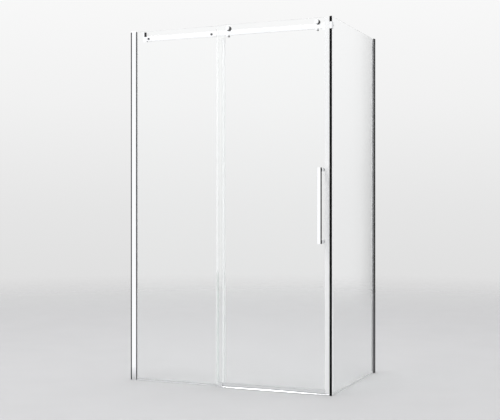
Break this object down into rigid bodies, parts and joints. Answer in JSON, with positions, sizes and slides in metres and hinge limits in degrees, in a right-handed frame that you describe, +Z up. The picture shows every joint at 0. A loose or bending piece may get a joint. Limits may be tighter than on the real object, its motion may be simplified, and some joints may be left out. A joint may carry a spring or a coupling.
{
  "type": "corner shower enclosure",
  "caption": "Frameless corner shower enclosure with a fixed panel, a side panel and a glass door that rolls on a flat rail.",
  "frame": {"origin": "on the floor in the middle of the whole outline, from the handle's face to the rear wall", "axes": "+X from the side wall to the free corner, +Y from the front to the rear wall, +Z up; the door is closed"},
  "size_m": [1.2, 0.856, 1.95],
  "materials": {
    "glass": "clear toughened glass, polished edges",
    "polished_aluminium": "bright polished and anodised",
    "plain_aluminium": "dark satin anodised",
    "chrome": "mirror polished chrome",
    "stainless": "turned stainless steel",
    "bearing_steel": "ground steel",
    "clear_seal": "translucent soft vinyl",
    "white_seal": "milky vinyl extrusion",
    "black_profile": "black vinyl extrusion",
    "magnet": "flexible magnetic strip",
    "gasket": "soft grey gasket",
    "rubber": "soft black rubber",
    "nylon": "black nylon"
  },
  "bodies": {
    "enclosure": {"front_wall_channel": "plain_aluminium", "front_glass_channel": "polished_aluminium", "front_channel_gaskets": "gasket", "front_channel_cap": "polished_aluminium", "front_lock_screws": "stainless", "front_lock_covers": "chrome", "side_wall_channel": "plain_aluminium", "side_glass_channel": "polished_aluminium", "side_channel_gaskets": "gasket", "side_channel_cap": "polished_aluminium", "side_lock_screws": "stainless", "side_lock_covers": "chrome", "fixed_glass": "glass", "fixed_edge_seal": "clear_seal", "fixed_bottom_seal": "clear_seal", "side_glass": "glass", "side_bottom_seal": "clear_seal", "side_edge_profiles": "black_profile", "side_magnet_strips": "magnet", "rail": "chrome", "rail_spacers": "chrome", "rail_bolts": "chrome", "rail_cap_nuts": "chrome", "rail_glass_bushes": "clear_seal", "rail_end_stop": "chrome", "end_stop_bumper": "rubber", "end_stop_grub_screw": "stainless", "corner_connector": "chrome", "connector_bolt": "stainless", "connector_liners": "clear_seal", "connector_grub_screw": "stainless", "threshold": "polished_aluminium", "bottom_guide": "chrome", "guide_pads": "nylon", "guide_grub_screw": "stainless"},
    "door": {"door_glass": "glass", "door_magnet_seal": "white_seal", "door_magnet_strip": "magnet", "door_edge_seal": "clear_seal", "door_sweep": "clear_seal", "handle": "chrome", "handle_bolts": "stainless", "handle_washers": "clear_seal", "roller_axles": "chrome", "roller_bushes": "clear_seal", "roller_hub_nuts": "stainless", "roller_inner_rings": "bearing_steel", "roller_end_screws": "stainless", "anti_lift_bolts": "chrome", "anti_lift_bushes": "clear_seal", "anti_lift_sleeves": "rubber"},
    "left_roller": {"left_wheel": "nylon", "left_wheel_bearing": "bearing_steel"},
    "right_roller": {"right_wheel": "nylon", "right_wheel_bearing": "bearing_steel"}
  },
  "joints": [
    {"name": "door_slide", "type": "slide", "parent": "enclosure", "child": "door", "axis": [-1, 0, 0], "range_m": [0, 0.492]},
    {"name": "left_roller_spin", "type": "hinge", "parent": "door", "child": "left_roller", "pos_m": [0.007, -0.347, 1.9252], "axis": [0, -1, 0], "continuous": true},
    {"name": "right_roller_spin", "type": "hinge", "parent": "door", "child": "right_roller", "pos_m": [0.5109, -0.347, 1.9252], "axis": [0, -1, 0], "continuous": true}
  ],
  "couplings": [
    {"joint": "left_roller_spin", "follows": "door_slide", "rad_per_m": 95.238},
    {"joint": "right_roller_spin", "follows": "door_slide", "rad_per_m": 95.238}
  ]
}
